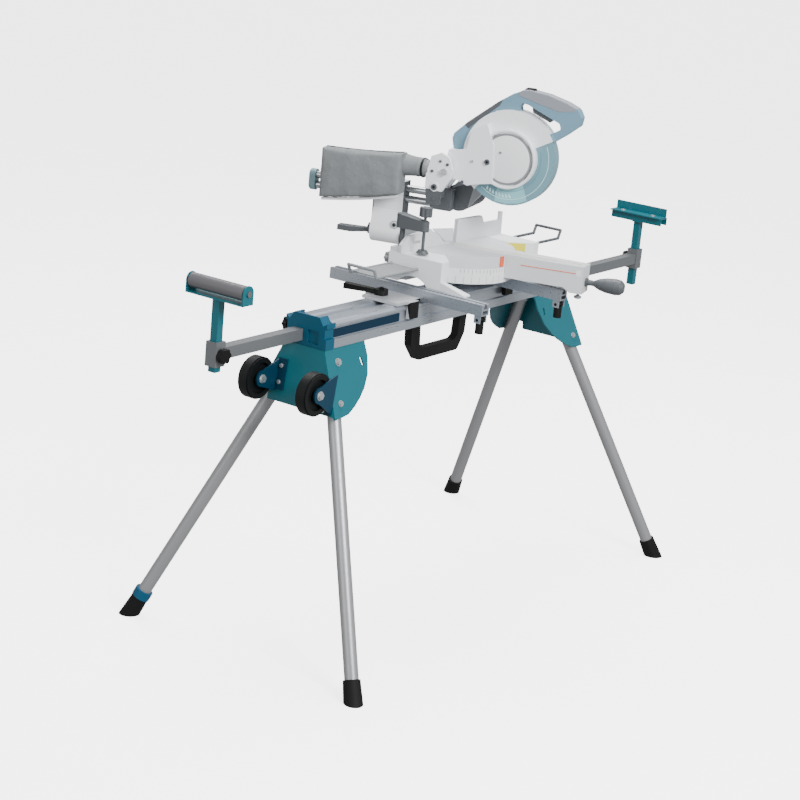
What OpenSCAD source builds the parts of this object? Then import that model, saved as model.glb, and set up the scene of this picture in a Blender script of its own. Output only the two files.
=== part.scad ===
// Sliding mitre saw clamped on a folding leg stand.
// Origin: on the floor under the middle of the beam. X runs along the beam, +X to the stop-plate end.
// -Y is the operator's side, +Z is up. Millimetres.

/* [Beam] */
// Length of the aluminium beam between its end caps
beam_l = 1022; // [900:1:1200]
// Full width of the beam
beam_w = 118; // [100:1:160]
// Underside of the beam above the floor
beam_z = 752; // [650:1:850]
// Top of the two humps above the floor
beam_top = 817; // [760:1:900]

/* [Legs] */
// Outside diameter of a leg tube
leg_d = 34; // [28:0.5:42]
// Sideways tilt of the leg plane in degrees
leg_tilt = 23; // [15:0.5:30]
// Outward splay of a leg in its plane in degrees
leg_splay = 15.15; // [8:0.05:22]
// Pivot distance from the middle along the beam
leg_px = 505; // [450:1:560]
// Pivot distance from the middle across the beam
leg_py = 52; // [40:1:70]
// Pivot height
leg_pz = 712; // [650:1:740]

/* [Extension arms] */
// Side of the square extension tube
arm_w = 28; // [22:0.5:36]
// Sideways offset of each extension tube
arm_y = 22.5; // [18:0.5:40]
// Height of the extension tube axis
arm_z = 777; // [760:1:800]
// Distance of the roller end's sleeve from the middle
near_x = 843; // [600:1:1200]
// Distance of the stop end's sleeve from the middle
far_x = 996; // [600:1:1200]

/* [Saw] */
// Saw centre along the beam
saw_x = 104; // [-100:1:200]
// Saw turntable centre across the beam
saw_y = 20; // [-50:1:60]
// Top of the bracket bars, where the saw stands
saw_z = 846; // [800:1:900]
// Mitre angle the table is set to
mitre = 15; // [-45:1:50]
// Blade diameter
blade_d = 214; // [190:1:260]
// Height of the table above the bars
table_h = 71; // [60:1:90]

/* [Hidden] */
by = beam_w / 2;
bx = beam_l / 2;
cos_t = cos(leg_tilt);
leg_l = leg_pz / (cos(leg_splay) * cos_t);
blade_r = blade_d / 2;
teal = [0.10, 0.42, 0.47];
alu = [0.74, 0.75, 0.76];
cast = [0.90, 0.91, 0.92];
black = [0.06, 0.06, 0.07];
// blade centre and head pivot in the table's own frame (across, back, up)
bv = -120;
bw = 317;
pv = 36;
pw = 265;

// ---------- placing helpers ----------
module saw() translate([saw_x, saw_y, saw_z]) children();
module table() saw() rotate([0, 0, mitre]) children();
// plate drawn in the table's (back, up) plane, spanning u0..u1 across
module across(u0, u1)
  translate([u0, 0, 0]) rotate([90, 0, 90]) linear_extrude(u1 - u0) children();
module cyl_u(r, u0, u1, v, w, n = 48)
  translate([u0, v, w]) rotate([0, 90, 0]) cylinder(r = r, h = u1 - u0, $fn = n);
module cyl_x(r, x0, x1, y, z, n = 32)
  translate([x0, y, z]) rotate([0, 90, 0]) cylinder(r = r, h = x1 - x0, $fn = n);
module cyl_y(r, y0, y1, x, z, n = 32)
  translate([x, y0, z]) rotate([-90, 0, 0]) cylinder(r = r, h = y1 - y0, $fn = n);
module box(x0, x1, y0, y1, z0, z1)
  translate([x0, y0, z0]) cube([x1 - x0, y1 - y0, z1 - z0]);
// leg frame at the pivot: local -Z runs down the leg, local Y is the hinge axis
module plane_at(sx, sy)
  translate([sx * leg_px, sy * leg_py, leg_pz]) rotate([sy * leg_tilt, 0, 0]) children();
module leg_at(sx, sy) plane_at(sx, sy) rotate([0, -sx * leg_splay, 0]) children();

// the whole object stands with the middle of its box over the origin
module put() translate([-76.5, -8.9, 0]) children();

// ---------- stand ----------
module beam_half() polygon([[-0.5, beam_z], [by, beam_z], [by, beam_z + 22], [by - 5, beam_z + 24],
  [by - 5, beam_z + 49], [by - 1, beam_z + 52], [by - 2, beam_z + 58], [by - 9, beam_top - 2],
  [by - 16, beam_top], [21, beam_top], [15, beam_top - 3], [13, beam_top - 9], [-0.5, beam_top - 9]]);
module beam() color(alu) rotate([90, 0, 90]) translate([0, 0, -bx]) linear_extrude(beam_l)
  difference() {
    union() { beam_half(); mirror([1, 0]) beam_half(); }
    for (s = [-1, 1]) translate([s * arm_y - arm_w / 2 - 0.3, arm_z - arm_w / 2 - 0.3])
      square(arm_w + 0.6);
    // hollow chambers
    for (s = [-1, 1]) translate([s * 45.5 - 4.5, beam_z + 6]) square([9, 38]);
    for (s = [-1, 1]) translate([s * 34 - 14, beam_z + 44]) square([28, 15]);
    translate([-5, beam_z + 5]) square([10, 46]);
  }

module cap_body() difference() {
  union() {
    box(bx, bx + 33, -62, 62, beam_z, 828);
  }
  // rounded shoulders
  for (s = [-1, 1]) translate([0, s * 62, 828]) rotate([s * 35, 0, 0])
    translate([bx - 1, -20, -9]) cube([40, 40, 30]);
  // groove down each flank
  for (s = [-1, 1]) box(bx - 1, bx + 40, s * 62 - 5, s * 62 + 5, beam_z + 26, beam_z + 52);
  // arm opening, running through
  box(bx - 1, bx + 40, arm_y - arm_w / 2 - 0.4, arm_y + arm_w / 2 + 0.4,
    arm_z - arm_w / 2 - 0.4, arm_z + arm_w / 2 + 0.4);
  // shallow pocket over the other channel
  box(bx + 29, bx + 40, -arm_y - 16, -arm_y + 16, arm_z - 16, arm_z + 16);
  // tray in the top, open towards the beam
  box(bx - 1, bx + 27, -32, 32, 817.6, 830);
  box(bx + 4, bx + 23, -22, 22, 815.2, 830);
  // screw recess in the end
  cyl_x(4, bx + 30, bx + 40, -36, 786, 24);
  // seat and hole for the locking knob
  cyl_y(19.5, 57, 70, bx + 17, 790, 40);
  cyl_y(4.05, 40, 63, bx + 17, 790, 24);
}
module end_caps() color([0.12, 0.45, 0.52]) {
  rotate([0, 0, 180]) mirror([0, 1, 0]) cap_body();
  mirror([0, 1, 0]) cap_body();
}

module front_strip() color([0.02, 0.20, 0.29])
  box(-bx + 2, -242, -by + 3.6, -by + 5, beam_z + 26, beam_z + 47);

module flange(sx, sy) plane_at(sx, sy) difference() {
  rotate([90, 0, 0]) translate([0, 0, sy > 0 ? -23 : 19]) linear_extrude(4)
    translate([-sx * leg_px, 0]) scale([sx, 1]) difference() {
      polygon([[544, 32], [387, 32], [388, -2], [404, -46], [429, -76], [454, -96],
        [480, -112], [510, -126], [540, -130], [566, -130]]);
      translate([416, -12]) rotate(-8) square([7, 20], center = true);
    }
  rotate([90, 0, 0]) cylinder(r = 5.05, h = 60, center = true, $fn = 24);
}
module leg_bracket(sx) {
  box(sx > 0 ? 387 : -543, sx > 0 ? 543 : -387, -61, 61, beam_z - 4, beam_z - 0.02);
  translate([sx * 541, 0, beam_z - 1.5]) rotate([0, -sx * 8.53, 0])
    translate([sx > 0 ? 0 : -4, 0, 0]) rotate([90, 0, 90]) linear_extrude(4)
      polygon(sx > 0 ?
        [[-58, 0], [58, 0], [84, -66], [84, -126], [74, -126], [74, -148], [-119, -148]] :
        [[-58, 0], [58, 0], [84, -66], [84, -148], [-119, -148]]);
  flange(sx, -1);
  flange(sx, 1);
}
module near_leg_bracket() color(teal) leg_bracket(-1);
module far_leg_bracket() color(teal) leg_bracket(1);

module hex_bolt(r, h) {
  cylinder(r = r, h = h, $fn = 6);
  cylinder(r = r * 1.25, h = 1.2, $fn = 24);
}
module bracket_bolts() color([0.75, 0.76, 0.78]) {
  for (sx = [-1, 1]) for (sy = [-1, 1]) plane_at(sx, sy) {
    // pivot pin through the flange and the leg
    rotate([90, 0, 0]) translate([0, 0, sy > 0 ? -23 : -19]) cylinder(r = 5, h = 42, $fn = 24);
    translate([0, sy * 23, 0]) rotate([sy > 0 ? -90 : 90, 0, 0]) hex_bolt(8, 6);
  }
  for (sx = [-1, 1]) for (sy = [-1, 1]) leg_at(sx, sy)
    translate([0, sy * 23, -100]) rotate([sy > 0 ? -90 : 90, 0, 0]) hex_bolt(6.5, 4.5);
  // wheel tab bolts on the near end plate
  for (p = [[54, -62], [54, -102], [-88, -118], [-88, -138]]) translate([-541, 0, beam_z])
    rotate([0, 8.53, 0]) translate([-8, p[0], p[1]]) rotate([0, -90, 0]) hex_bolt(4.5, 3.5);
}

module leg_tube(sx, sy) leg_at(sx, sy) difference() {
  union() {
    translate([0, 0, -leg_l + 40]) cylinder(r = leg_d / 2, h = leg_l - 40 + 12, $fn = 40);
    sphere_end();
  }
  translate([0, 0, -leg_l + 30]) cylinder(r = leg_d / 2 - 1.8, h = leg_l - 60, $fn = 32);
  rotate([90, 0, 0]) cylinder(r = 5.06, h = 60, center = true, $fn = 24);
}
module sphere_end() translate([0, 0, 12]) cylinder(r1 = leg_d / 2, r2 = leg_d / 2 - 5, h = 8, $fn = 40);
module leg_nf() color(alu) leg_tube(-1, -1);
module leg_nb() color(alu) leg_tube(-1, 1);
module leg_ff() color(alu) leg_tube(1, -1);
module leg_fb() color(alu) leg_tube(1, 1);

module foot(sx, sy) intersection() {
  leg_at(sx, sy) difference() {
    translate([0, 0, -leg_l - 14]) cylinder(r1 = 24, r2 = 21, h = 68, $fn = 40);
    translate([0, 0, -leg_l + 40]) cylinder(r = leg_d / 2 + 0.02, h = 20, $fn = 40);
  }
  box(-900, 900, -900, 900, 0, 900);
}
module foot_nf() color(black) foot(-1, -1);
module foot_nb() color(black) foot(-1, 1);
module foot_ff() color(black) foot(1, -1);
module foot_fb() color(black) foot(1, 1);
module foot_adjuster() color([0.10, 0.38, 0.55]) leg_at(-1, 1) difference() {
  translate([0, 0, -leg_l + 54.2]) cylinder(r = 23, h = 22, $fn = 24);
  translate([0, 0, -leg_l + 50]) cylinder(r = leg_d / 2 + 0.3, h = 40, $fn = 40);
}

wheel_x = -616;
wheel_z = 667;
module wheel(y0) difference() {
  union() {
    cyl_y(52, y0 + 3, y0 + 27, wheel_x, wheel_z, 56);
    cyl_y(49, y0, y0 + 30, wheel_x, wheel_z, 56);
  }
  for (y = [y0 - 1, y0 + 22]) difference() {
    cyl_y(38, y, y + 9, wheel_x, wheel_z, 48);
    cyl_y(16, y - 1, y + 10, wheel_x, wheel_z, 32);
  }
  cyl_y(6.06, y0 - 1, y0 + 31, wheel_x, wheel_z, 32);
}
module wheel_front() color(black) wheel(-107);
module wheel_back() color(black) wheel(68);
module tab(y0, s) {
  difference() {
    translate([0, y0, 0]) rotate([-90, 0, 0]) linear_extrude(4) {
      polygon([[-548, -706], [-556, -706], [wheel_x + 2, -wheel_z - 19.9], [wheel_x - 2, -wheel_z + 19.9],
        [-568, s > 0 ? -612 : -630], [-556, s > 0 ? -612 : -630]]);
      translate([wheel_x, -wheel_z]) circle(r = 20, $fn = 48);
    }
    translate([0, 0, -0.01]) cyl_y(6, y0 - 1, y0 + 5, wheel_x, wheel_z);
    translate([-541, 0, beam_z]) rotate([0, 8.53, 0]) box(-4.01, 40, -200, 200, -200, 20);
  }
  translate([-541, 0, beam_z]) rotate([0, 8.53, 0])
    box(-8, -4, min(y0 + 2, y0 + 2 + s * 26), max(y0 + 2, y0 + 2 + s * 26),
      s > 0 ? -146 : -120, s > 0 ? -92 : -44);
}
module wheel_tabs() color([0.04, 0.13, 0.2]) {
  tab(-112, 1);
  tab(63, -1);
}
module wheel_axles() color([0.72, 0.73, 0.75]) for (y = [-112, 63]) {
  cyl_y(6, y, y + 38, wheel_x, wheel_z);
  translate([wheel_x, y, wheel_z]) rotate([90, 0, 0]) hex_bolt(9, 6);
  translate([wheel_x, y + 36.5, wheel_z]) rotate([-90, 0, 0]) hex_bolt(9, 5);
}

module carry_handle() color(black) translate([0, -4, 0]) rotate([90, 0, 0]) linear_extrude(22)
  difference() {
    offset(r = 14, $fn = 32) offset(delta = -14) polygon([[-140, 752], [-136, 690], [-100, 646],
      [78, 646], [106, 690], [110, 752], [60, 790], [-90, 790]]);
    offset(r = 10, $fn = 32) offset(delta = -10) polygon([[-104, 780], [-96, 686], [-82, 676],
      [60, 676], [74, 686], [82, 780]]);
    translate([-200, beam_z]) square([400, 100]);
  }

module sq_tube(x0, x1, y) difference() {
  box(x0, x1, y - arm_w / 2, y + arm_w / 2, arm_z - arm_w / 2, arm_z + arm_w / 2);
  box(x0 - 1, x1 + 1, y - arm_w / 2 + 2.2, y + arm_w / 2 - 2.2,
    arm_z - arm_w / 2 + 2.2, arm_z + arm_w / 2 - 2.2);
}
module sleeve(x, y, s) difference() {
  box(x - 16, x + 16, y - 16, y + 16, arm_z - 29, arm_z + 29);
  box(x - 10.3, x + 10.3, y - 10.3, y + 10.3, arm_z - 40, arm_z + 40);
  cyl_y(4.05, min(y, y + s * 20), max(y, y + s * 20), x, arm_z - 1);
}
module near_arm() color([0.6, 0.61, 0.62]) {
  sq_tube(-near_x + 16, 60, arm_y);
  sleeve(-near_x, arm_y, -1);
}
module far_arm() color([0.6, 0.61, 0.62]) {
  sq_tube(-60, far_x - 16, -arm_y);
  sleeve(far_x, -arm_y, 1);
}
// lobed knob on a stem, pointing along +Y from y0
module knob(x, y0, z, s, r, stem_in) {
  translate([x, y0, z]) rotate([s > 0 ? -90 : 90, 0, 0]) {
    translate([0, 0, 0.4]) cylinder(r = r * 0.55, h = 5, $fn = 32);
    translate([0, 0, 4]) linear_extrude(13) offset(r = 2, $fn = 16) offset(delta = -2)
      union() {
        circle(r = r * 0.82, $fn = 32);
        for (a = [0:60:300]) rotate(a) translate([r * 0.62, 0]) circle(r = r * 0.34, $fn = 16);
      }
    translate([0, 0, -stem_in]) cylinder(r = 3.98, h = stem_in + 5, $fn = 24);
  }
}
module near_post_knob() color(black) knob(-near_x, arm_y - 16, arm_z - 1, -1, 19, 5);
module far_post_knob() color(black) knob(far_x, -arm_y + 16, arm_z - 1, 1, 19, 5);
module near_arm_knob() color(black) knob(-bx - 17, 57, 790, 1, 18, 14);
module far_arm_knob() color(black) knob(bx + 17, -57, 790, -1, 18, 14);

module post(x, y, z0, z1) difference() {
  box(x - 10, x + 10, y - 10, y + 10, z0, z1);
  box(x - 8, x + 8, y - 8, y + 8, z0 - 1, z1 + 1);
}
module near_post() color(teal) {
  post(-near_x, arm_y, 734, 906);
  roller_bracket();
}
module far_post() color(teal) post(far_x, -arm_y, 698, 888);
module end_flange(y0) translate([-near_x, y0, 0]) rotate([90, 0, 0]) translate([0, 0, -3])
  linear_extrude(3) difference() {
    union() {
      translate([-18, 905]) square([36, 28]);
      translate([0, 933]) circle(r = 18, $fn = 40);
    }
    translate([0, 932]) circle(r = 4.02, $fn = 24);
  }
module roller_bracket() {
  box(-near_x - 18, -near_x + 18, arm_y - 82, arm_y + 82, 905, 909);
  end_flange(arm_y - 85);
  end_flange(arm_y + 82);
}
module roller() color([0.6, 0.59, 0.61]) {
  difference() {
    cyl_y(17.5, arm_y - 80, arm_y + 80, -near_x, 932, 48);
    cyl_y(14, arm_y - 81, arm_y - 70, -near_x, 932, 40);
    cyl_y(14, arm_y + 70, arm_y + 81, -near_x, 932, 40);
  }
  cyl_y(3.98, arm_y - 88, arm_y + 88, -near_x, 932, 24);
  for (s = [-1, 1]) translate([-near_x, arm_y + s * 85.3, 932]) rotate([s > 0 ? -90 : 90, 0, 0])
    cylinder(r = 7, h = 3.5, $fn = 24);
}
module stop_plate() color(teal) {
  box(far_x - 18, far_x + 18, -arm_y - 83, -arm_y + 83, 908, 912);
  box(far_x - 18, far_x - 15, -arm_y - 83, -arm_y + 83, 890, 909);
  box(far_x + 15, far_x + 18, -arm_y - 83, -arm_y + 83, 890, 909);
  box(far_x - 18, far_x + 18, -arm_y - 12, -arm_y + 12, 888, 891);
  box(far_x + 8, far_x + 12, -arm_y - 83, -arm_y + 83, 912, 938);
  box(far_x - 30, far_x + 12, -arm_y - 83, -arm_y + 83, 911.5, 914.5);
}
module stop_screws() color([0.8, 0.8, 0.82]) for (s = [-1, 1])
  translate([far_x - 10, -arm_y + s * 50, 914.5]) {
    cylinder(r = 6, h = 3, $fn = 6);
    cylinder(r = 8, h = 1, $fn = 24);
  }

bar_x = [-144, 176];
bar_y = [-242, -272];
module bar(i) {
  x = bar_x[i];
  y = bar_y[i];
  translate([x, y + 474, 0]) rotate([90, 0, 0]) linear_extrude(474) difference() {
    translate([-16, beam_top + 0.4]) square([32, saw_z - beam_top - 0.4]);
    translate([-4, saw_z - 6]) square([8, 7]);
    translate([-8, saw_z - 12]) square([16, 6.5]);
    translate([-11, beam_top + 4]) square([22, 9]);
  }
  // ears for the hanging lever, below the front end
  for (s = [-1, 1]) difference() {
    box(x + s * 13 - 2, x + s * 13 + 2, y + 4, y + 22, 798, beam_top + 0.4);
    cyl_x(4.05, x + s * 13 - 3, x + s * 13 + 3, y + 13, 806, 24);
  }
}
module bars() color([0.7, 0.71, 0.73]) { bar(0); bar(1); }
module clamp(i) {
  x = bar_x[i];
  s = i == 0 ? -1 : 1;
  xa = x + s * 16;
  xb = x + s * 112;
  box(min(xa, xb), max(xa, xb), -56, 54, beam_top + 0.4, beam_top + 8);
  // hook foot down the front hump, and its twin behind
  for (f = [-1, 1])
    box(x + s * 58 - 18, x + s * 58 + 18, min(f * (by + 0.6), f * (by + 12)),
      max(f * (by + 0.6), f * (by + 12)), beam_z + 30, beam_top + 8);
  for (f = [-1, 1]) box(x + s * 58 - 18, x + s * 58 + 18, min(f * 50, f * (by + 4)),
      max(f * 50, f * (by + 4)), beam_top + 0.4, beam_top + 8);
}
module bar_clamps() color([0.78, 0.79, 0.80]) difference() {
  union() { clamp(0); clamp(1); }
  for (i = [0, 1]) translate([bar_x[i] + (i == 0 ? -72 : 72), 24, 0])
    cylinder(r = 6.05, h = 2000, $fn = 24);
}
module cam_lever(i) translate([bar_x[i] + (i == 0 ? -72 : 72), 24, beam_top + 8.4]) {
  cylinder(r = 17, h = 14, $fn = 40);
  translate([0, 0, -7.6]) cylinder(r = 6, h = 10, $fn = 24);
  translate([0, 0, 14]) cylinder(r = 6, h = 5, $fn = 6);
  rotate([0, 0, i == 0 ? 104 : 76]) hull() {
    translate([10, -8, 2]) cube([10, 16, 10]);
    translate([92, -11, 1]) cube([8, 22, 14]);
  }
}
module near_cam_lever() color([0.2, 0.2, 0.21]) cam_lever(0);
module far_cam_lever() color([0.2, 0.2, 0.21]) cam_lever(1);
module bar_lever(i) {
  x = bar_x[i];
  y = bar_y[i] + 13;
  cyl_x(4, x - 15, x + 15, y, 806, 24);
  cyl_x(7, x - 10.6, x + 10.6, y, 806, 32);
  translate([x, y, 770]) cylinder(r = 10.5, h = 31, $fn = 32);
}
module near_bar_lever() color(black) bar_lever(0);
module far_bar_lever() color(black) bar_lever(1);

// ---------- saw base ----------
rod_h = 41;
module wing_2d() polygon([[-230, 55], [-230, -109], [-200, -109], [-140, -56], [140, -56],
  [200, -109], [225, -109], [225, 55]]);
module saw_base() color(cast) saw() difference() {
  union() {
    difference() {
      linear_extrude(table_h) wing_2d();
      translate([0, 0, 40]) cylinder(r = 152, h = 60, $fn = 96);
    }
    cylinder(r = 150, h = 40, $fn = 96);
    // front lugs
    for (s = [-1, 1]) hull() {
      box(s > 0 ? 203 : -229, s > 0 ? 225 : -213, -109, -100, 0, 22);
      box(s > 0 ? 208 : -237, s > 0 ? 232 : -213, -190, -184, 0, 4);
    }
  }
  // hollow wings, open below
  for (s = [-1, 1]) box(s > 0 ? 160 : -222, s > 0 ? 217 : -160, -48, 10, -1, 26);
  // drum and table are hollow from below
  difference() {
    translate([0, 0, -1]) cylinder(r = 143, h = 35, $fn = 96);
    translate([0, 0, -2]) cylinder(r = 26, h = 40, $fn = 48);
    for (a = [0:60:120]) rotate(a) box(-150, 150, -2, 2, -2, 40);
  }
  // arch under the left side
  for (x = [-240, 205]) translate([x, 0, 0]) rotate([90, 0, 90]) linear_extrude(30)
    translate([-24, -42]) circle(r = 62, $fn = 56);
  for (y = [-36, 44]) {
    cyl_x(4.06, -240, -150, y, rod_h, 24);
    cyl_x(4.06, 150, 240, y, rod_h, 24);
  }
  translate([-199, 42, 46]) cylinder(r = 7.05, h = 60, $fn = 32);
  cylinder(r = 14.06, h = 200, center = true, $fn = 40);
  cyl_y(4.05, 34, 60, -214, 50, 24);
}
module fences() color([0.86, 0.87, 0.88]) saw() {
  translate([0, 22, 0]) rotate([90, 0, 0]) translate([0, 0, -4.6]) linear_extrude(8.4)
    translate([-saw_x, -saw_z]) difference() {
      polygon([[-126, 917.2], [92, 917.2], [92, 922.4], [59, 927.4], [-2, 966], [-100, 958], [-126, 938]]);
      translate([-60, 938]) square([30, 7], center = true);
    }
  translate([0, 13, 0]) rotate([90, 0, 0]) translate([0, 0, -10]) linear_extrude(10)
    translate([-saw_x, -saw_z])
      polygon([[112, 917.2], [112, 979], [226, 977], [240, 956], [318, 956], [318, 978], [327, 978],
        [329, 917.2]]);
  // webs behind the fences, bolted to the wings
  difference() {
    box(-228, -150, 26.6, 54, table_h + 0.2, table_h + 12);
    translate([-199, 42, 60]) cylinder(r = 7.05, h = 40, $fn = 32);
  }
  box(152, 222, 23, 50, table_h + 0.2, table_h + 12);
}
module sub_fence() color([0.66, 0.67, 0.68]) saw() translate([0, 13, 0]) rotate([90, 0, 0])
  translate([0, 0, -5]) linear_extrude(5) translate([-saw_x, -saw_z])
    polygon([[1.5, 966.5], [96, 957], [96, 923.4], [61.5, 928]]);
module holder(s, x0, x1, up) saw() {
  for (y = [-36, 44]) cyl_x(4, s > 0 ? x0 : x1, s > 0 ? x1 : x0, y, rod_h, 24);
  translate([x1, 0, 0]) {
    for (y = [-36, 44]) hull() {
      translate([0, y, rod_h]) sphere(r = 4, $fn = 24);
      translate([s * 10, y, rod_h + up]) sphere(r = 4, $fn = 24);
    }
    hull() for (y = [-36, 44]) translate([s * 10, y, rod_h + up]) sphere(r = 4, $fn = 24);
  }
}
module left_holder() color([0.55, 0.55, 0.56]) {
  holder(-1, -155, -404, 20);
  saw() box(-396, -236, -30, 38, rod_h - 1.5, rod_h + 1.5);
  saw() for (x = [-392, -246]) for (y = [-36, 44]) box(x - 4, x + 4, min(y, sign(y) * 30),
    max(y, sign(y) * 30), rod_h - 3, rod_h + 3);
}
module right_holder() color([0.3, 0.3, 0.32]) holder(1, 155, 446, 22);
// knob head, and its screw as a piece of its own
module base_knob() color([0.4, 0.4, 0.41]) saw() {
  knob(-214, 55, 50, 1, 15, -4.2);
  cyl_y(3.98, 37, 55.3, -214, 50, 24);
}

module vise_post() color([0.4, 0.41, 0.42]) saw() {
  translate([-199, 42, 46.4]) cylinder(r = 7, h = 95, $fn = 32);
  difference() {
    hull() {
      translate([-199, 44, 130]) cylinder(r = 15, h = 36, $fn = 32);
      translate([-199, -25, 132]) cylinder(r = 12, h = 26, $fn = 32);
    }
    translate([-199, -25, 100]) cylinder(r = 4.06, h = 100, $fn = 24);
  }
}
module vise_screw() color([0.35, 0.35, 0.36]) saw() translate([-199, -25, 0]) {
  translate([0, 0, 80]) cylinder(r = 4, h = 92, $fn = 24);
  translate([0, 0, 76]) cylinder(r1 = 17, r2 = 12, h = 8, $fn = 32);
  translate([0, 0, 170]) linear_extrude(24) offset(r = 2, $fn = 12) offset(delta = -2) union() {
    circle(r = 14, $fn = 32);
    for (a = [0:45:315]) rotate(a) translate([13, 0]) circle(r = 4, $fn = 12);
  }
}

// ---------- mitre table ----------
module arm_2d() polygon([[-42, -100], [42, -100], [38, -180], [29, -352], [-29, -352], [-38, -180]]);
module turntable() color([0.9, 0.91, 0.92]) table() difference() {
  union() {
    difference() {
      translate([0, 0, 40.4]) cylinder(r = 149, h = table_h - 40.4, $fn = 96);
      // pocket that the bolted-on tail sits in
      box(-27.2, 27.2, 117.8, 160, 30, 90);
    }
    difference() {
      linear_extrude(table_h) arm_2d();
      translate([0, 0, -1]) cylinder(r = 151, h = 41.4, $fn = 96);
      // underside of the arm is lifted between the ring and the tip
      translate([-60, 0, 0]) rotate([90, 0, 90]) linear_extrude(120)
        polygon([[-100, -1], [-100, 13], [-302, 12], [-318, 2], [-318, -1]]);
    }
    // tail that carries the tilting arm
    hull() {
      translate([0, 118, 75]) rotate([-90, 0, 0]) cylinder(r = 26, h = 29, $fn = 48);
      box(-27, 27, 118, 147, 42, 60);
    }
    translate([0, 0, 2]) cylinder(r = 14, h = 45, $fn = 40);
  }
  difference() {
    translate([0, 0, 39]) cylinder(r = 141, h = 13, $fn = 96);
    translate([0, 0, 38]) cylinder(r = 26, h = 20, $fn = 48);
    for (a = [0:60:120]) rotate(a) box(-150, 150, -2, 2, 30, 60);
  }
  across(-21, 21) polygon([[-170, -1], [-170, 50], [-290, 50], [-290, -1]]);
  // slot for the blade
  box(-4, 4, -336, 30, 56, 90);
  // seat for the kerf board
  box(-22.2, 22.2, -334, 12, table_h - 3, 90);
  translate([0, 100, 75]) rotate([-90, 0, 0]) cylinder(r = 9.05, h = 60, $fn = 40);
  // clamp screw and levelling screw holes at the tip
  translate([0, -300, 28]) rotate([90, 0, 0]) cylinder(r = 5.05, h = 80, $fn = 24);
}
module kerf_board() color([0.82, 0.83, 0.80]) table() difference() {
  box(-22, 22, -333.6, 11.6, table_h - 3, table_h);
  box(-3, 3, -336, 8, table_h - 10, table_h + 10);
}
module pointer() color([0.80, 0.42, 0.30]) table() {
  difference() {
    rotate([0, 0, -21]) box(-7, 7, -151.7, -149.3, 43, 70);
    translate([0, 0, -1]) linear_extrude(90) arm_2d();
  }
  translate([0, 0, 51]) linear_extrude(2) intersection() {
    difference() {
      translate([-0.9, 0]) arm_2d();
      arm_2d();
    }
    translate([-50, -332]) square([30, 146]);
  }
}
module mitre_grip() color([0.55, 0.55, 0.56]) table() translate([0, -352, 28]) rotate([90, 0, 0]) {
  translate([0, 0, -40]) cylinder(r = 5, h = 60, $fn = 24);
  translate([0, 0, 0.4]) cylinder(r = 11, h = 6, $fn = 32);
  translate([0, 0, 6]) cylinder(r1 = 8, r2 = 7, h = 16, $fn = 32);
  translate([0, 0, 22]) rotate_extrude($fn = 40)
    polygon([[0, 0], [7, 0], [14, 14], [19, 34], [21, 58], [19, 72], [12, 80], [0, 82]]);
}

// ---------- tilting arm ----------
module bevel_arm() color([0.80, 0.81, 0.83]) table() {
  difference() {
    union() {
      hull() {
        translate([0, 149.6, 75]) rotate([-90, 0, 0]) cylinder(r = 31, h = 90.4, $fn = 56);
        box(-16, 24, 158, 240, 120, 136);
      }
      box(-16, 24, 156, 242, 118, 214);
    }
    for (w = [168, 195]) translate([0, 140, w]) rotate([-90, 0, 0])
      cylinder(r = 10.05, h = 120, $fn = 40);
    translate([0, 200, 75]) rotate([-90, 0, 0]) cylinder(r = 7.05, h = 60, $fn = 32);
  }
  translate([0, 104, 75]) rotate([-90, 0, 0]) cylinder(r = 9, h = 90, $fn = 40);
  translate([-14, 171, 100]) rotate([0, -90, 0]) hex_bolt(8, 18);
}
module bevel_lever() color([0.3, 0.3, 0.31]) table() translate([0, 240.6, 75]) rotate([-90, 0, 0]) {
  translate([0, 0, -40]) cylinder(r = 7, h = 50, $fn = 32);
  cylinder(r = 15, h = 12, $fn = 32);
  hull() {
    translate([-6, -2, 2]) cube([12, 10, 8]);
    translate([-13, 2, 60]) cube([26, 14, 38]);
  }
}

// ---------- sliding carriage ----------
module poles() color([0.82, 0.83, 0.85]) table() for (w = [168, 195])
  translate([0, 44, w]) rotate([-90, 0, 0]) cylinder(r = 10, h = 376, $fn = 40);
module rear_cap() color([0.42, 0.56, 0.58]) table() difference() {
  hull() for (w = [168, 195]) translate([0, 412, w]) rotate([-90, 0, 0]) {
    cylinder(r = 15, h = 16, $fn = 32);
    translate([0, 0, 16]) cylinder(r1 = 15, r2 = 12, h = 3, $fn = 32);
  }
  for (w = [168, 195]) translate([0, 400, w]) rotate([-90, 0, 0]) cylinder(r = 10.01, h = 20, $fn = 40);
}
module carriage() color(cast) table() difference() {
  union() {
    // pole block, narrow below so the arm can tilt
    across(-13, 13) polygon([[28, 155], [84, 155], [84, 235], [58, 235], [45, 212], [28, 212]]);
    across(-60, 22) polygon([[45, 216], [84, 216], [84, 232], [58, 232]]);
    across(-60, -49.2) polygon([[40, 212], [84, 212], [84, 250], [76, 300], [50, 312], [26, 302],
      [16, 270], [20, 246]]);
    across(12.2, 22) polygon([[44, 212], [84, 212], [70, 280], [40, 286], [18, 270], [22, 246]]);
    across(-60, -49.2) polygon([[44, 176], [80, 176], [84, 214], [40, 214]]);
    across(-49.4, -12) polygon([[48, 190], [82, 190], [84, 218], [46, 218]]);
    // dust outlet behind the left ear
    translate([-40, 82, 264]) rotate([-90, 0, 0]) cylinder(r = 22, h = 30, $fn = 40);
    box(-60, -18, 72, 86, 216, 262);
  }
  cyl_u(7.06, -70, 40, pv, pw, 32);
  for (w = [168, 195]) translate([0, 44, w]) rotate([-90, 0, 0]) cylinder(r = 10.01, h = 60, $fn = 40);
  translate([-40, 90, 264]) rotate([-90, 0, 0]) cylinder(r = 18, h = 40, $fn = 32);
}
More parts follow.
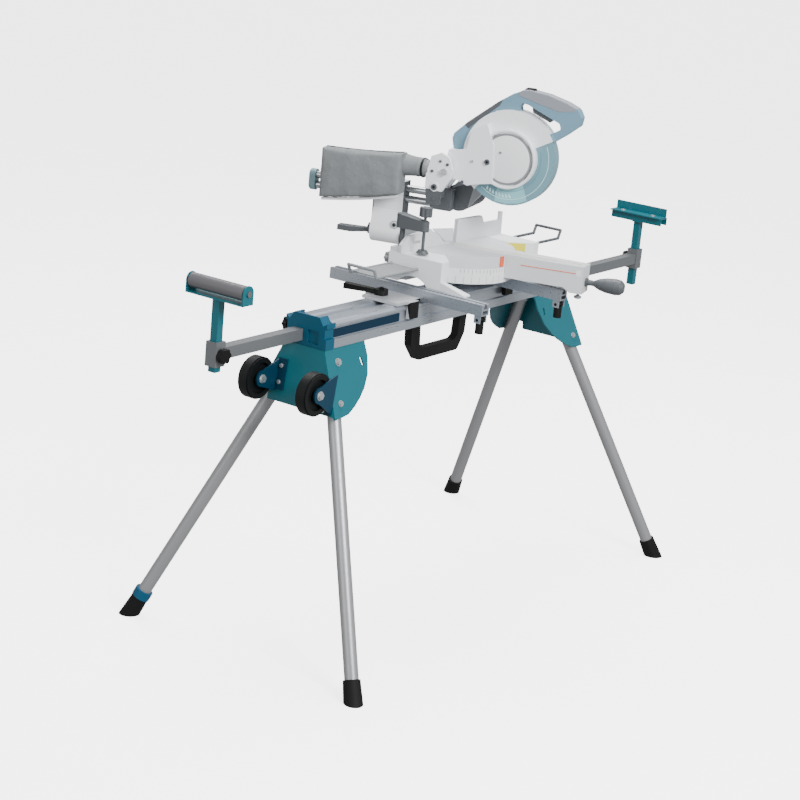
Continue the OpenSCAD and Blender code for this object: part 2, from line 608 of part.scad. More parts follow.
module dust_bag() color([0.6, 0.62, 0.62]) table() difference() {
  union() {
    translate([-40, 100, 264]) rotate([-90, 0, 0]) cylinder(r = 25, h = 52, $fn = 40);
    hull() {
      translate([-90, 150, 190]) cube([68, 8, 106]);
      translate([-92, 364, 152]) cube([72, 8, 131]);
    }
    // stiff strip along the bottom edge
    hull() {
      translate([-58, 160, 178]) cube([10, 8, 10]);
      translate([-58, 364, 141]) cube([10, 8, 10]);
    }
  }
  translate([-40, 90, 264]) rotate([-90, 0, 0]) cylinder(r = 22.01, h = 24, $fn = 40);
}

// ---------- head ----------
guard_r = 124;
module sector(r, a0, a1) polygon(concat([[0, 0]],
  [for (a = [a0:(a1 - a0) / 24:a1 + 0.01]) [r * cos(a), r * sin(a)]]));
// angles run from straight back (+Y of the table) upwards
module upper_half(r) sector(r, -47, 152);
module blade_case() color(cast) table() {
  difference() {
    union() {
      translate([0, bv, bw]) across(-24, 24) upper_half(guard_r);
      // gear cover on the left, and its rim
      cyl_u(76, -40, -20, bv, bw, 64);
      // white housing from the cover back to the pivot
      across(-45, -23.4) polygon([[-90, 250], [-48, 243], [-22, 236], [8, 247], [30, 246], [48, 252],
        [57, 266], [52, 282], [15, 322], [-12, 328], [-18, 366], [-60, 400], [-82, 350]]);
      // arm to the pivot barrel
      cyl_u(16, -48.6, 11.6, pv, pw, 48);
      difference() {
        across(-43.3, 11.2) polygon([[-16, 264], [22, 252], [36, 251.5], [44, 258], [48, 268], [44, 280],
          [36, 321], [-16, 321]]);
        cyl_u(guard_r - 1, -24, 24, bv, bw, 64);
      }
      // motor on the right
      cyl_u(36, 26, 150, 20, 188, 48);
      cyl_u(44, 20, 40, bv, bw, 48);
      across(23.4, 33) polygon([[-8, 166], [44, 208], [-58, 330], [-112, 286]]);
    }
    // room for blade and lower guard
    cyl_u(guard_r - 2.6, -20.9, 20.9, bv, bw, 96);
    cyl_u(7.06, -60, 20, pv, pw, 32);
    cyl_u(11.06, 0, 46, bv, bw, 32);
    // vents in the motor
    for (u = [60:14:136]) translate([u, 0, 0]) difference() {
      cyl_u(37, 0, 5, 20, 188, 48);
      cyl_u(33.5, -1, 6, 20, 188, 48);
    }
  }
  // bearing ring for the lower guard
  difference() {
    cyl_u(59.92, -21, -16.5, bv, bw, 64);
    cyl_u(52, -22, -16, bv, bw, 48);
  }
  difference() {
    cyl_u(59.92, 16.5, 21, bv, bw, 64);
    cyl_u(52, 16, 22, bv, bw, 48);
  }
  // pivot pin and cover screws
  cyl_u(7, -64, 26, pv, pw, 32);
  for (p = [[-71, 304, 7, 9], [-102, 332, 4, 3]]) cyl_u(p[2], -45 - p[3] + 6, -38, p[0], p[1], 24);
}
handle_out = [[39, 347], [35, 361], [1, 394], [-37, 425], [-74, 455], [-112, 481], [-134, 491],
  [-153, 494], [-204, 488], [-258, 474], [-286, 461], [-296, 443], [-293, 422], [-260, 394],
  [-226, 369], [-208, 395], [-130, 432], [-60, 420], [-3, 358], [4, 321.03], [33, 321.03]];
module handle() color([0.56, 0.63, 0.67]) table() difference() {
  across(-17, 17) difference() {
    offset(r = 4, $fn = 16) offset(delta = -4) polygon(handle_out);
    offset(r = 5, $fn = 16) offset(delta = -5)
      polygon([[-131, 448], [-138, 461], [-155, 458], [-241, 422], [-246, 408], [-213, 388],
        [-172, 418], [-136, 432]]);
  }
  cyl_u(guard_r + 0.15, -30, 30, bv, bw, 96);
  // pocket the trigger sinks into
  across(-9, 9) polygon([[-158, 440], [-158, 464], [-226, 436], [-226, 415]]);
}
module trigger() color([0.2, 0.22, 0.24]) table()
  across(-8, 8) polygon([[-163, 453], [-168, 455], [-217, 434], [-220, 426], [-213, 420], [-166, 440]]);
module blade() color([0.7, 0.71, 0.73]) table() {
  cyl_u(blade_r, -1.1, 1.1, bv, bw, 72);
  cyl_u(20, -4, 4, bv, bw, 32);
  cyl_u(11, 3, 40, bv, bw, 32);
}
module lower_guard() color([0.50, 0.62, 0.66]) table() translate([0, bv, bw])
  difference() {
    across(-20.2, 20.2) difference() {
      sector(guard_r - 3.2, 152, 313);
      circle(r = 40, $fn = 40);
    }
    cyl_u(guard_r - 5.4, -18.2, 18.2, 0, 0, 80);
    cyl_u(60, -30, 30, 0, 0, 64);
  }

put() beam();
put() end_caps();
put() front_strip();
put() near_leg_bracket();
put() far_leg_bracket();
put() bracket_bolts();
put() leg_nf();
put() leg_nb();
put() leg_ff();
put() leg_fb();
put() foot_nf();
put() foot_nb();
put() foot_ff();
put() foot_fb();
put() foot_adjuster();
put() wheel_tabs();
put() wheel_axles();
put() wheel_front();
put() wheel_back();
put() carry_handle();
put() near_arm();
put() far_arm();
put() near_arm_knob();
put() far_arm_knob();
put() near_post_knob();
put() far_post_knob();
put() near_post();
put() roller();
put() far_post();
put() stop_plate();
put() stop_screws();
put() bars();
put() bar_clamps();
put() near_cam_lever();
put() far_cam_lever();
put() near_bar_lever();
put() far_bar_lever();
put() saw_base();
put() fences();
put() sub_fence();
put() left_holder();
put() right_holder();
put() base_knob();
put() vise_post();
put() vise_screw();
put() turntable();
put() kerf_board();
put() pointer();
put() mitre_grip();
put() bevel_arm();
put() bevel_lever();
put() poles();
put() rear_cap();
put() carriage();
put() dust_bag();
put() blade_case();
put() handle();
put() trigger();
put() blade();
put() lower_guard();
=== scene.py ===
import bpy
import bmesh
import math
from mathutils import Matrix, Vector, noise


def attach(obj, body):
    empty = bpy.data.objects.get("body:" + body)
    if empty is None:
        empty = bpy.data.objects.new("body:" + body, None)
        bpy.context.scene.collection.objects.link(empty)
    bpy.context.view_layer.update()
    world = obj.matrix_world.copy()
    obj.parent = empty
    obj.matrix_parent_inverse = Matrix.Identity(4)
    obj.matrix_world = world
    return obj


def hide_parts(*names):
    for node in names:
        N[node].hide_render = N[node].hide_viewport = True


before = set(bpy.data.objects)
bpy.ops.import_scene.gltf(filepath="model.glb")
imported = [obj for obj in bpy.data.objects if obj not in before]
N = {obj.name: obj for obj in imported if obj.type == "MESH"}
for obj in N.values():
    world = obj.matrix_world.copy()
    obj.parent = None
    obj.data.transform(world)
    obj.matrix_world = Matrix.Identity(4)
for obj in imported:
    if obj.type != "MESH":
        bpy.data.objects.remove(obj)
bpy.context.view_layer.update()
MM = 0.001


# ---------------------------------------------------------------- materials
def rough_mat(name, rgb, rough=0.5, metal=0.0, bump=0.0, bump_scale=400.0, mottled=0.0,
              mottle_scale=6.0, rough_var=0.08, coat=0.0, spec=0.5, stretch=(1, 1, 1)):
    """A principled material with mottled colour, uneven gloss and, if asked, a fine bump."""
    m = bpy.data.materials.new(name)
    m.use_nodes = True
    t = m.node_tree
    b = t.nodes["Principled BSDF"]
    b.inputs["Metallic"].default_value = metal
    b.inputs["Coat Weight"].default_value = coat
    b.inputs["Specular IOR Level"].default_value = spec
    tc = t.nodes.new("ShaderNodeTexCoord")
    mp = t.nodes.new("ShaderNodeMapping")
    mp.inputs["Scale"].default_value = stretch
    t.links.new(tc.outputs["Object"], mp.inputs["Vector"])
    big = t.nodes.new("ShaderNodeTexNoise")
    big.inputs["Scale"].default_value = mottle_scale
    big.inputs["Detail"].default_value = 4
    t.links.new(mp.outputs["Vector"], big.inputs["Vector"])
    mix = t.nodes.new("ShaderNodeMix")
    mix.data_type = "RGBA"
    mix.inputs[6].default_value = [c * (1 - mottled) for c in rgb] + [1]
    mix.inputs[7].default_value = [min(1, c * (1 + mottled)) for c in rgb] + [1]
    t.links.new(big.outputs["Fac"], mix.inputs[0])
    t.links.new(mix.outputs[2], b.inputs["Base Color"])
    fine = t.nodes.new("ShaderNodeTexNoise")
    fine.inputs["Scale"].default_value = bump_scale
    fine.inputs["Detail"].default_value = 3
    t.links.new(mp.outputs["Vector"], fine.inputs["Vector"])
    rng = t.nodes.new("ShaderNodeMapRange")
    rng.inputs["To Min"].default_value = max(0.02, rough - rough_var)
    rng.inputs["To Max"].default_value = min(1.0, rough + rough_var)
    t.links.new(fine.outputs["Fac"], rng.inputs["Value"])
    t.links.new(rng.outputs["Result"], b.inputs["Roughness"])
    if bump:
        bp = t.nodes.new("ShaderNodeBump")
        bp.inputs["Strength"].default_value = bump
        bp.inputs["Distance"].default_value = 0.0006
        t.links.new(fine.outputs["Fac"], bp.inputs["Height"])
        t.links.new(bp.outputs["Normal"], b.inputs["Normal"])
    return m


def srgb(*c):
    """Linear colour from three 0 to 255 display values."""
    out = []
    for v in c:
        v /= 255.0
        out.append(v / 12.92 if v <= 0.04045 else ((v + 0.055) / 1.055) ** 2.4)
    return out


TEAL = rough_mat("teal paint", srgb(3, 92, 104), 0.42, 0.0, 0.10, 500, 0.05, coat=0.12, spec=0.4)
CAP = rough_mat("cap plastic", srgb(8, 74, 98), 0.5, 0.0, 0.18, 900, 0.05, spec=0.35)
ALU = rough_mat("extruded aluminium", srgb(168, 175, 184), 0.3, 0.7, 0.05, 300, 0.05,
                stretch=(0.06, 1, 1))
LEG = rough_mat("leg tube", srgb(150, 151, 154), 0.4, 0.5, 0.04, 260, 0.06, stretch=(1, 1, 0.08))
TUBE = rough_mat("grey tube", srgb(106, 109, 112), 0.42, 0.35, 0.08, 500, 0.05)
STRIP = rough_mat("dark strip", srgb(2, 36, 56), 0.5, 0.0, 0.05, 500, 0.03, spec=0.2)
BLACK = rough_mat("black plastic", srgb(9, 9, 10), 0.55, 0.0, 0.25, 1200, 0.1, spec=0.25)
RUBBER = rough_mat("black rubber", srgb(7, 7, 8), 0.7, 0.0, 0.35, 900, 0.15, spec=0.25)
TYRE = rough_mat("wheel", srgb(8, 10, 11), 0.55, 0.0, 0.3, 700, 0.12, spec=0.25)
STEEL = rough_mat("zinc steel", srgb(205, 207, 210), 0.28, 0.85, 0.05, 300, 0.05)
BLUE = rough_mat("blue plastic", srgb(8, 74, 104), 0.5, 0.0, 0.15, 700, 0.05, spec=0.35)
CAST = rough_mat("pale casting", srgb(238, 240, 243), 0.45, 0.05, 0.22, 900, 0.03)
CAST2 = rough_mat("table casting", srgb(214, 217, 220), 0.38, 0.15, 0.12, 700, 0.04)
ZINC = rough_mat("clamp plate", srgb(205, 207, 210), 0.4, 0.5, 0.1, 500, 0.05)
GREY = rough_mat("grey plastic", srgb(126, 129, 132), 0.5, 0.0, 0.25, 900, 0.05)
DGREY = rough_mat("dark grey plastic", srgb(74, 78, 82), 0.5, 0.0, 0.25, 900, 0.06)
PALE = rough_mat("pale plastic", srgb(214, 216, 212), 0.5, 0.0, 0.1, 700, 0.03)
ORANGE = rough_mat("orange mark", srgb(222, 96, 60), 0.4, 0.0, 0.05, 500, 0.03)
BAG = rough_mat("bag cloth", srgb(118, 122, 124), 0.85, 0.0, 0.8, 1800, 0.08, mottle_scale=20)
HANDLE = rough_mat("handle shell", srgb(104, 142, 162), 0.42, 0.0, 0.2, 900, 0.05)
GRIP = rough_mat("soft grip", srgb(132, 136, 144), 0.7, 0.0, 0.5, 700, 0.06)
CHROME = rough_mat("pole steel", srgb(168, 171, 174), 0.22, 0.85, 0.0, 300, 0.02)
GUARD = rough_mat("guard", srgb(106, 146, 158), 0.32, 0.0, 0.05, 500, 0.04, coat=0.2)
TEALP = rough_mat("pale teal plastic", srgb(120, 152, 160), 0.45, 0.0, 0.15, 800, 0.05)
YELLOW = rough_mat("yellow plate", srgb(226, 214, 60), 0.45, 0.0, 0.05, 500, 0.03)
DARK = rough_mat("scale marks", srgb(48, 52, 56), 0.5, 0.0, 0.05, 500, 0.03)
WHITE = rough_mat("white plate", srgb(232, 234, 236), 0.4, 0.0, 0.05, 500, 0.02)
ROLLER = rough_mat("roller tube", srgb(104, 103, 107), 0.36, 0.4, 0.05, 500, 0.05)
TABS = rough_mat("wheel tab paint", srgb(2, 46, 66), 0.45, 0.0, 0.10, 500, 0.05, spec=0.3)
PALEG = rough_mat("pale guard edge", srgb(190, 226, 230), 0.35, 0.0, 0.05, 500, 0.03)
# painted highlight: lighter cyan standing in for the light on the lower guard's bottom, not a clear window
GUARD_HIGHLIGHT = rough_mat("painted guard highlight", srgb(134, 190, 198), 0.3, 0.0, 0.05, 500, 0.04, coat=0.3)
GUARD2 = rough_mat("guard rib", srgb(84, 124, 138), 0.35, 0.0, 0.05, 500, 0.03)

LOOK = {
    TEAL: ["near_leg_bracket", "far_leg_bracket", "near_post", "far_post", "stop_plate"],
    CAP: ["end_caps"],
    ALU: ["beam", "bars"],
    LEG: ["leg_nf", "leg_nb", "leg_ff", "leg_fb"],
    ROLLER: ["roller"],
    TUBE: ["near_arm", "far_arm"],
    STRIP: ["front_strip"],
    BLACK: ["carry_handle", "near_arm_knob", "far_arm_knob", "near_post_knob", "far_post_knob",
            "near_cam_lever", "far_cam_lever", "near_bar_lever", "far_bar_lever"],
    RUBBER: ["foot_nf", "foot_nb", "foot_ff", "foot_fb"],
    TYRE: ["wheel_front", "wheel_back"],
    STEEL: ["bracket_bolts", "wheel_axles", "stop_screws", "blade"],
    BLUE: ["foot_adjuster"],
    ZINC: ["bar_clamps"],
    CAST: ["saw_base", "bevel_arm", "carriage", "blade_case"],
    CAST2: ["turntable", "fences", "sub_fence"],
    DGREY: ["mitre_grip", "right_holder", "vise_post", "vise_screw", "bevel_lever", "trigger"],
    GREY: ["base_knob", "left_holder"],
    TABS: ["wheel_tabs"],
    PALE: ["kerf_board"],
    ORANGE: ["pointer"],
    CHROME: ["poles"],
    TEALP: ["rear_cap"],
    BAG: ["dust_bag"],
    HANDLE: ["handle"],
    GUARD: ["lower_guard"],
}


def set_mat(o, m):
    o.data.materials.clear()
    o.data.materials.append(m)
    for p in o.data.polygons:
        p.material_index = 0


for m, names in LOOK.items():
    for n in names:
        set_mat(N[n], m)


def soften(o, w, segs=2, angle=32):
    b = o.modifiers.new("edge", "BEVEL")
    b.width = w
    b.segments = segs
    b.limit_method = "ANGLE"
    b.angle_limit = math.radians(angle)
    b.harden_normals = False
    for p in o.data.polygons:
        p.use_smooth = True
    wn = o.modifiers.new("normals", "WEIGHTED_NORMAL")
    wn.keep_sharp = True


for n, o in N.items():
    soften(o, 0.0008)


# ---------------------------------------------------------------- places
STAND = Matrix.Translation((-0.0765, -0.0089, 0))
BASE = STAND @ Matrix.Translation((0.104, 0.020, 0.846))
TABLE = BASE @ Matrix.Rotation(math.radians(15), 4, "Z")
# turns a place so that its X is the table's back direction and its Y is up
SIDE = Matrix(((0, 0, 1, 0), (1, 0, 0, 0), (0, 1, 0, 0), (0, 0, 0, 1)))
# turns a place so that its Z points to the saw's left
LEFTWARD = Matrix.Rotation(math.radians(-90), 4, "Y")
# in the table's millimetres: the blade's axis, the head's pivot and the motor, as (back, up)
BLADE_AT = (-120, 317)
PIVOT_AT = (36, 265)
MOTOR_AT = (20, 188)
MOTOR_R = 38


def new_mesh(name, verts, faces, mat, body, place=STAND, smooth=True):
    """A mesh given in millimetres in one of the places above, riding on a CAD body."""
    me = bpy.data.meshes.new(name)
    me.from_pydata([place @ (Vector(v) * MM) for v in verts], [], faces)
    me.validate()
    bm = bmesh.new()
    bm.from_mesh(me)
    bmesh.ops.recalc_face_normals(bm, faces=bm.faces)
    bm.to_mesh(me)
    bm.free()
    for p in me.polygons:
        p.use_smooth = smooth
    me.materials.append(mat)
    o = bpy.data.objects.new(name, me)
    bpy.context.scene.collection.objects.link(o)
    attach(o, body)
    return o


def block(name, lo, hi, mat, body, place=STAND, edge=0.4, turn=None):
    """A box between two corners, with softened edges."""
    x0, y0, z0 = lo
    x1, y1, z1 = hi
    vs = [(x, y, z) for x in (x0, x1) for y in (y0, y1) for z in (z0, z1)]
    fs = [(0, 1, 3, 2), (4, 6, 7, 5), (0, 4, 5, 1), (2, 3, 7, 6), (0, 2, 6, 4), (1, 5, 7, 3)]
    if turn is not None:
        place = place @ turn
    o = new_mesh(name, vs, fs, mat, body, place)
    soften(o, edge * MM, 2)
    return o


def lathe(name, profile, mat, body, place, steps=40):
    """A turned piece: profile is (radius, along) pairs, turned about the place's Z."""
    vs = []
    fs = []
    n = len(profile)
    for i in range(steps):
        a = 2 * math.pi * i / steps
        vs += [(r * math.cos(a), r * math.sin(a), z) for r, z in profile]
    for i in range(steps):
        j = (i + 1) % steps
        fs += [(i * n + k, j * n + k, j * n + k + 1, i * n + k + 1) for k in range(n - 1)]
    for k, back in ((0, True), (n - 1, False)):
        if profile[k][0] > 1e-6:
            ring = [i * n + k for i in range(steps)]
            fs.append(tuple(reversed(ring)) if back else tuple(ring))
    o = new_mesh(name, vs, fs, mat, body, place)
    bm = bmesh.new()
    bm.from_mesh(o.data)
    bmesh.ops.remove_doubles(bm, verts=bm.verts, dist=1e-6)
    bm.to_mesh(o.data)
    bm.free()
    e = o.modifiers.new("split", "EDGE_SPLIT")
    e.split_angle = math.radians(38)
    return o


def plate(name, outline, thick, mat, body, place, edge=0.3):
    """A flat piece: outline in the place's X and Y, from Z 0 to thick."""
    n = len(outline)
    vs = [(x, y, 0) for x, y in outline] + [(x, y, thick) for x, y in outline]
    fs = [tuple(reversed(range(n))), tuple(range(n, 2 * n))]
    fs += [(i, (i + 1) % n, n + (i + 1) % n, n + i) for i in range(n)]
    o = new_mesh(name, vs, fs, mat, body, place)
    soften(o, edge * MM, 2)
    return o


def at(x, y, z):
    """A shift given in millimetres."""
    return Matrix.Translation((x * MM, y * MM, z * MM))


def side_on(u):
    """Place whose X is the table's back direction and Y is up, standing at u across."""
    return TABLE @ at(u, 0, 0) @ SIDE


# ---------------------------------------------------------------- dust bag
def dust_bag():
    """Cloth bag hanging behind the head: a stuffed shape with gathered corners and sagging sides."""
    u0, u1 = -92.0, -20.0
    v0, v1 = 150.0, 372.0
    nu, nv, nw = 8, 40, 26
    mid = (u0 + u1) / 2
    half = (u1 - u0) / 2

    def top(t):
        return 296 - 13 * t - 3 * math.sin(math.pi * t)

    def bottom(t):
        return 190 - 38 * t - 4 * math.sin(math.pi * t)

    def skin(t, s, side):
        """t runs front to back, s bottom to top, side -1 to 1 across."""
        w = bottom(t) + (top(t) - bottom(t)) * s
        v = v0 + (v1 - v0) * t
        plump = (4 * t * (1 - t)) ** 0.35 * (4 * s * (1 - s)) ** 0.35
        reach = half * (0.62 + 0.36 * plump)
        fold = 2.6 * math.sin(9 * t + 5 * s + 1.3 * side) * s * (1 - t * 0.3)
        drape = 2.2 * math.sin(21 * t + 2.5 * math.sin(4 * s)) * (1 - s) * 0.9
        crush = 3.0 * noise.noise(Vector((v / 38, w / 30, side * 3)))
        x = mid + side * reach + (fold + drape + crush) * side * 0.62
        x = max(u0 + 0.5, min(u1 - 0.5, x))
        return (x, v, w)

    vs = []
    index = {}

    def vert(key, p):
        if key not in index:
            index[key] = len(vs)
            vs.append(p)
        return index[key]

    fs = []
    for side in (-1, 1):
        for i in range(nv):
            for j in range(nw):
                quad = []
                for a, b in ((0, 0), (1, 0), (1, 1), (0, 1)):
                    t, s = (i + a) / nv, (j + b) / nw
                    quad.append(vert((side, i + a, j + b), skin(t, s, side)))
                fs.append(quad if side > 0 else quad[::-1])

    def bridge(edge):
        """Strip of faces across the bag along one side of its outline."""
        for k in range(len(edge) - 1):
            for q in range(nu):
                quad = []
                for a, b in ((0, 0), (1, 0), (1, 1), (0, 1)):
                    i, j = edge[k + a]
                    f = -1 + 2 * (q + b) / nu
                    if q + b in (0, nu):
                        quad.append(index[(-1 if q + b == 0 else 1, i, j)])
                    else:
                        p0, p1 = Vector(vs[index[(-1, i, j)]]), Vector(vs[index[(1, i, j)]])
                        p = p0.lerp(p1, (f + 1) / 2)
                        bow = 2.5 * (1 - f * f)
                        if j == nw:
                            p.z += bow * 0.6
                        if j == 0:
                            p.z -= bow * 0.2
                        quad.append(vert(("m", q + b, i, j), tuple(p)))
                fs.append(quad)

    bridge([(i, 0) for i in range(nv + 1)])
    bridge([(nv, j) for j in range(nw + 1)])
    bridge([(i, nw) for i in range(nv, -1, -1)])
    bridge([(0, j) for j in range(nw, -1, -1)])
    bag = new_mesh("bag_cloth", vs, fs, BAG, "slide_carriage", TABLE)
    sub = bag.modifiers.new("soft", "SUBSURF")
    sub.levels = 1
    sub.render_levels = 2
    creases = bpy.data.textures.new("creases", "CLOUDS")
    creases.noise_scale = 0.03
    creases.noise_depth = 2
    d = bag.modifiers.new("creases", "DISPLACE")
    d.texture = creases
    d.texture_coords = "OBJECT"
    d.strength = 0.0030
    d.mid_level = 0.5
    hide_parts("dust_bag")
    # neck ring on the outlet, and the stiff strip that closes the bottom
    neck = TABLE @ at(-40, 106, 264) @ Matrix.Rotation(math.radians(-90), 4, "X")
    lathe("bag_neck", [(22.1, -14), (24.0, -14), (24.4, -6), (24.0, 0), (25.4, 4), (25.4, 8),
                       (24.8, 12), (26.6, 30), (29.0, 46), (33.0, 56), (22.1, 56)],
          BAG, "slide_carriage", neck)
    lathe("bag_clip", [(24.2, -9), (25.8, -9), (25.8, -4), (24.2, -4), (24.2, -9)], BLACK,
          "slide_carriage", neck)
    strip = []
    for k in range(23):
        t = k / 22
        strip.append((v0 + 6 + (v1 - v0 - 10) * t, bottom(t) - 2))
    outline = strip + [(v, w - 7) for v, w in reversed(strip)]
    plate("bag_strip", outline, 10, WHITE, "slide_carriage", side_on(mid - 14), 1.0)
    binding = []
    for k in range(23):
        t = k / 22
        binding.append((v0 + 4 + (v1 - v0 - 8) * t, top(t) + 1.0))
    outline = [(v, w + 2.5) for v, w in binding] + [(v, w - 3) for v, w in reversed(binding)]
    plate("bag_top_binding", outline, 4, DGREY, "slide_carriage", side_on(mid - 2), 0.8)


dust_bag()


# ---------------------------------------------------------------- saw details
def table_scale():
    """Degree marks on the drum round the table, and ribs on its skirt."""
    for k in range(-52, 53, 4):
        a = math.radians(-90 + k)
        turn = Matrix.Rotation(a, 4, "Z")
        block(f"scale_mark_{k + 52:03d}", (150.0, -0.35, 24 if k % 20 == 0 else 29),
              (150.35, 0.35, 38), DARK, "saw_carrier", BASE, 0.05, turn)
    for k in range(-64, 65, 8):
        a = math.radians(-90 + k)
        block(f"skirt_rib_{k + 64:03d}", (149.5, -1.4, 2), (150.8, 1.4, 20), CAST2, "saw_carrier",
              BASE, 0.6, Matrix.Rotation(a, 4, "Z"))


table_scale()
ARM_SIDE = -30
plate("arm_plate", [(-345, 46), (-175, 46), (-175, 61), (-345, 61)], 0.6, WHITE, "turntable",
      side_on(ARM_SIDE), 0.1)
# slanting front face of the base's right wing
WING_FACE = BASE @ at(141, -56.9, 0) @ Matrix(((0.7495, 0, -0.662, 0), (-0.662, 0, -0.7495, 0),
                                               (0, 1, 0, 0), (0, 0, 0, 1)))
plate("caution_plate", [(0, 46), (56, 46), (56, 69), (0, 69)], 0.5, YELLOW, "saw_carrier", WING_FACE, 0.1)
# levelling screw with its foot, under the tip of the table's arm
lathe("tip_screw", [(0, -16), (7, -16), (10, -14), (10, -10), (4, -7), (4, 12), (0, 12)], GREY, "turntable",
      TABLE @ at(-8, -338, 0), 32)
plate("handle_soft_grip", [(-122, 478), (-180, 463), (-236, 450), (-276, 456), (-284, 464), (-256, 476),
                           (-204, 490), (-153, 496), (-134, 493)], 35.6, GRIP, "head",
      side_on(-17.8), 2.5)


def paint(node, mat, inside):
    """Faces of a CAD piece whose middle, in the table's own millimetres, is inside get another finish."""
    o = N[node]
    o.data.materials.append(mat)
    k = len(o.data.materials) - 1
    back = TABLE.inverted()
    for p in o.data.polygons:
        c = back @ p.center / MM
        if inside(c.x, c.y, c.z):
            p.material_index = k


def disc(name, r, u0, u1, v, w, mat, body, hex_head=False):
    """A round head or ring on the saw's left flank, from u0 out to u1."""
    where = TABLE @ at(u0, v, w) @ LEFTWARD
    h = u0 - u1
    lathe(name, [(0, 0), (r, 0), (r, h - 0.5), (r - 0.5, h), (0, h)], mat, body, where,
          6 if hex_head else 36)


def from_motor(v, w):
    """Distance from the motor's axis."""
    return math.hypot(v - MOTOR_AT[0], w - MOTOR_AT[1])


paint("blade_case", DGREY, lambda u, v, w: u > 22.5 and from_motor(v, w) < MOTOR_R)
paint("carriage", DGREY, lambda u, v, w: w < 214)
paint("carriage", GREY, lambda u, v, w: v > 86)
paint("blade_case", GREY, lambda u, v, w: u > 22.5 and w < 300 and v > -60
      and from_motor(v, w) >= MOTOR_R)
paint("turntable", GREY, lambda u, v, w: v > 112)
# gear cover: raised rim, dark groove and inner face
for name, prof, m in (
        ("cover_rim", [(69, 0), (76, 0), (76, 1.2), (74.5, 2.6), (70.5, 2.6), (69, 1.2), (69, 0)], CAST),
        ("cover_groove", [(60.5, 0), (66, 0), (66, 0.35), (60.5, 0.35), (60.5, 0)], GREY),
        ("cover_face", [(0, 2.2), (56, 2.2), (59.5, 1.4), (60.5, 0), (0, 0)], CAST)):
    lathe(name, prof, m, "head", TABLE @ at(-40, *BLADE_AT) @ LEFTWARD, 72)
disc("arbor_bolt", 7.6, -47.8, -50.5, -71, 304, DGREY, "head")
disc("arbor_socket", 3.4, -50.4, -51.0, -71, 304, BLACK, "head", True)
disc("cover_screw", 3.4, -42, -44.5, -102, 332, GREY, "head")
for k, (v, w) in enumerate([(-9, 243.5), (31, 252), (30, 300), (-30, 300)]):
    disc(f"housing_bolt_{k}", 4.2, -45, -48, v, w, STEEL if k else DGREY, "head", k > 1)
disc("ear_ring", 12, -60, -62, 60, 222, CAST, "slide_carriage")
disc("ear_bolt", 8, -62, -66, 60, 222, DGREY, "slide_carriage")
disc("ear_socket", 4, -65.8, -66.4, 60, 222, BLACK, "slide_carriage", True)
for k, (v, w, r) in enumerate([(70, 262, 4.5), (50, 290, 3.6), (30, 284, 4.5), (60, 190, 4)]):
    disc(f"ear_screw_{k}", r, -60, -63, v, w, DGREY, "slide_carriage", k % 2 == 0)
disc("pivot_nut", 9.5, -64, -69, *PIVOT_AT, STEEL, "head", True)
disc("column_washer", 11, -27.5, -30, 171, 100, STEEL, "bevel_arm")
disc("column_bolt", 6, -29.8, -33, 171, 100, DGREY, "bevel_arm")
disc("column_socket", 3, -32.8, -33.4, 171, 100, BLACK, "bevel_arm", True)


def column_trim():
    """Dark edge plates down the column's back and front, and the bevel scale at its foot."""
    for name, v0, v1 in (("column_back_edge", 238.6, 242.4), ("column_front_edge", 155.6, 158)):
        block(name, (-16.5, v0, 90), (24.5, v1, 214.4), DGREY, "bevel_arm", TABLE, 0.8)
    for k in range(-2, 10):
        a = math.radians(180 + 5 * k)
        r0, r1 = 31.2, 33.5 if k % 3 else 35
        block(f"bevel_mark_{k + 2:02d}", (r0, -3, -0.3), (r1, 3, 0.3), DARK, "bevel_arm",
              TABLE @ at(0, 153, 75) @ Matrix.Rotation(-a, 4, "Y"), 0.05)


column_trim()


def polar(r, a):
    """Point at radius r and angle a in degrees."""
    return (r * math.cos(math.radians(a)), r * math.sin(math.radians(a)))


def guard_trim():
    """Ribs round the lower guard's left face, a painted highlight low on that face, and a row of slanting
    slots near its foot.
    """
    hub = TABLE @ at(0, *BLADE_AT)
    n = 40
    for r0, r1, a0, a1, m in ((104.5, 106, 156, 309, PALEG), (84, 85.2, 160, 306, GUARD2)):
        outline = [polar(r1, a0 + (a1 - a0) * k / n) for k in range(n + 1)]
        outline += [polar(r0, a1 - (a1 - a0) * k / n) for k in range(n + 1)]
        spot = hub @ at(-20.2 - 0.5, 0, 0) @ SIDE
        plate(f"guard_rib_{int(r0)}", outline, 0.7, m, "lower_guard", spot, 0.15)
    # lighter cyan patch low on the guard's face: a painted highlight where light falls, not a clear part
    clear = [(61.5, 232), (61.5, 262), (61.5, 290), (117, 284), (117, 268), (117, 252), (117, 240)]
    outline = [polar(r, a) for r, a in clear]
    plate("guard_painted_highlight", outline, 0.35, GUARD_HIGHLIGHT, "lower_guard", hub @ at(-20.5, 0, 0) @ SIDE, 0.1)
    for k in range(8):
        a = 262 + 5.4 * k
        outline = [polar(92, a + 1.3), polar(92, a + 3.4), polar(101, a + 2.1), polar(101, a - 1.3)]
        plate(f"guard_slot_{k}", outline, 0.6, PALEG, "lower_guard", hub @ at(-20.7, 0, 0) @ SIDE, 0.1)


guard_trim()
paint("bar_clamps", BLACK, lambda u, v, w: w < -22 and v < 0)
block("cap_insert", (-541.5, -14, 815.2), (-520, 20, 817.4), WHITE, "stand", STAND, 0.4)
block("cap_insert_far", (520, -20, 815.2), (541.5, 14, 817.4), WHITE, "stand", STAND, 0.4)
plate("handle_grey_band", [(10, 386), (1, 394.6), (-37, 425.6), (-74, 455.6), (-88, 465),
                           (-80, 446), (-57, 425.5), (-27, 401), (-2, 376)],
      34.8, DGREY, "head", side_on(-17.4), 1.5)
plate("lock_button", [(-168, 493), (-138, 493), (-142, 499), (-164, 499)], 20, BLACK, "head",
      side_on(-10), 1.5)


